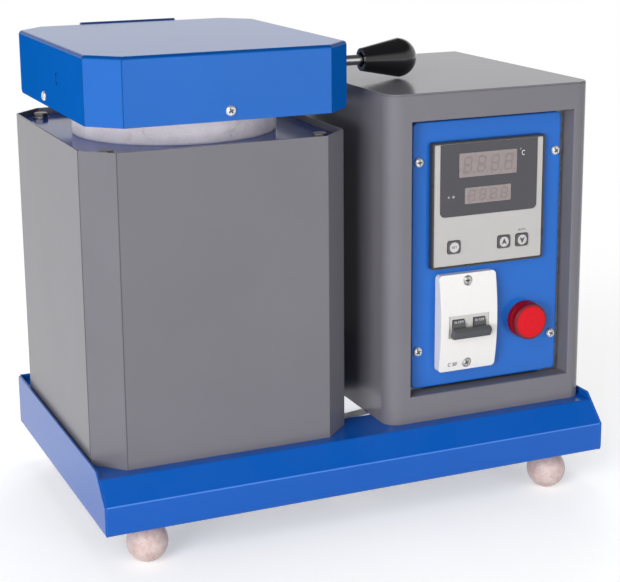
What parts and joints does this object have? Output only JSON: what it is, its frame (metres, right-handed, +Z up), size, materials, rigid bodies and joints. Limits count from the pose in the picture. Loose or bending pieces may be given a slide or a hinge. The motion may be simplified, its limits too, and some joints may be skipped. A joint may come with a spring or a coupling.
{
  "type": "electric melting furnace",
  "caption": "Electric crucible furnace with a hinged lid over an octagonal fibre-lined body, and a control box with temperature controller, breaker and pilot lamp, on one tray.",
  "frame": {"origin": "on the floor, under the middle of the tray's outline", "axes": "+Z up, -Y towards the operator, +X towards the control box"},
  "size_m": [0.4, 0.25, 0.3585],
  "materials": {
    "base_paint": "gloss",
    "foot_ceramic": "satin",
    "zinc": "satin",
    "jacket_paint": "satin",
    "box_paint": "satin",
    "bare_steel": "satin",
    "fibre": "matte",
    "refractory": "matte",
    "coil_wire": "matte",
    "plate_paint": "gloss",
    "graphite": "matte",
    "terminal_ceramic": "satin",
    "sleeve": "matte",
    "lid_paint": "gloss",
    "handle_chrome": "polished",
    "knob_plastic": "gloss",
    "hinge_steel": "satin",
    "inlet_rubber": "matte",
    "dark_plastic": "matte",
    "panel_paint": "gloss",
    "controller_plastic": "satin",
    "window_plastic": "gloss",
    "lens_plastic": "satin",
    "button_plastic": "satin",
    "white_plastic": "satin",
    "nose_plastic": "satin",
    "toggle_plastic": "satin",
    "lamp_plastic": "gloss"
  },
  "bodies": {
    "furnace": {"base_tray": "base_paint", "base_back_plate": "base_paint", "base_end_plate_left": "base_paint", "base_end_plate_right": "base_paint", "ball_feet": "foot_ceramic", "foot_washers": "zinc", "foot_screws": "zinc", "base_screws": "zinc", "furnace_jacket": "jacket_paint", "floor_pan": "bare_steel", "fibre_lining": "fibre", "hearth_brick": "refractory", "muffle_tube": "refractory", "heating_coil": "coil_wire", "top_plate": "plate_paint", "corner_gussets": "bare_steel", "top_plate_bolts": "zinc", "top_plate_washers": "zinc", "fibre_collar": "fibre", "crucible": "graphite", "thermocouple": "refractory", "terminal_blocks": "terminal_ceramic", "lead_sleeve": "sleeve", "hinge_bracket": "hinge_steel", "hinge_bracket_rivets": "zinc", "hinge_pin_rod": "zinc", "control_box_wrap": "box_paint", "control_box_top": "box_paint", "control_box_floor": "bare_steel", "rear_cover": "box_paint", "rear_cover_screws": "zinc", "cord_inlet": "inlet_rubber", "contactor": "dark_plastic", "front_panel": "panel_paint", "front_panel_screws": "zinc", "panel_rails": "bare_steel", "controller_case": "controller_plastic", "controller_face": "controller_plastic", "controller_window": "window_plastic", "display_lenses": "lens_plastic", "breaker_cover": "white_plastic", "breaker_cover_screws": "zinc", "breaker_body": "nose_plastic", "breaker_pin": "zinc", "lamp_bezel": "lamp_plastic", "lamp_lens": "lamp_plastic", "lamp_body": "dark_plastic"},
    "lid": {"lid_shell": "lid_paint", "lid_frame": "plate_paint", "lid_board": "fibre", "lid_screws": "zinc", "handle_rod": "handle_chrome", "handle_nut": "zinc", "handle_knob": "knob_plastic", "lid_hinge_leaf": "hinge_steel", "lid_hinge_rivets": "zinc"},
    "breaker_lever": {"breaker_toggle": "toggle_plastic"},
    "set_key": {"button_set": "button_plastic"},
    "up_key": {"button_up": "button_plastic"},
    "down_key": {"button_down": "button_plastic"}
  },
  "joints": [
    {"name": "lid_hinge", "type": "hinge", "parent": "furnace", "child": "lid", "pos_m": [-0.098, 0.1196, 0.3545], "axis": [-1, 0, 0], "range_deg": [0, 100]},
    {"name": "breaker_switch", "type": "hinge", "parent": "furnace", "child": "breaker_lever", "pos_m": [0.0952, -0.0945, 0.1389], "axis": [-1, 0, 0], "range_deg": [0, 54]},
    {"name": "set_key_press", "type": "slide", "parent": "furnace", "child": "set_key", "axis": [0, 1, 0], "range_m": [0, 0.0007], "stiffness_N_per_m": 300},
    {"name": "up_key_press", "type": "slide", "parent": "furnace", "child": "up_key", "axis": [0, 1, 0], "range_m": [0, 0.0007], "stiffness_N_per_m": 300},
    {"name": "down_key_press", "type": "slide", "parent": "furnace", "child": "down_key", "axis": [0, 1, 0], "range_m": [0, 0.0007], "stiffness_N_per_m": 300}
  ]
}
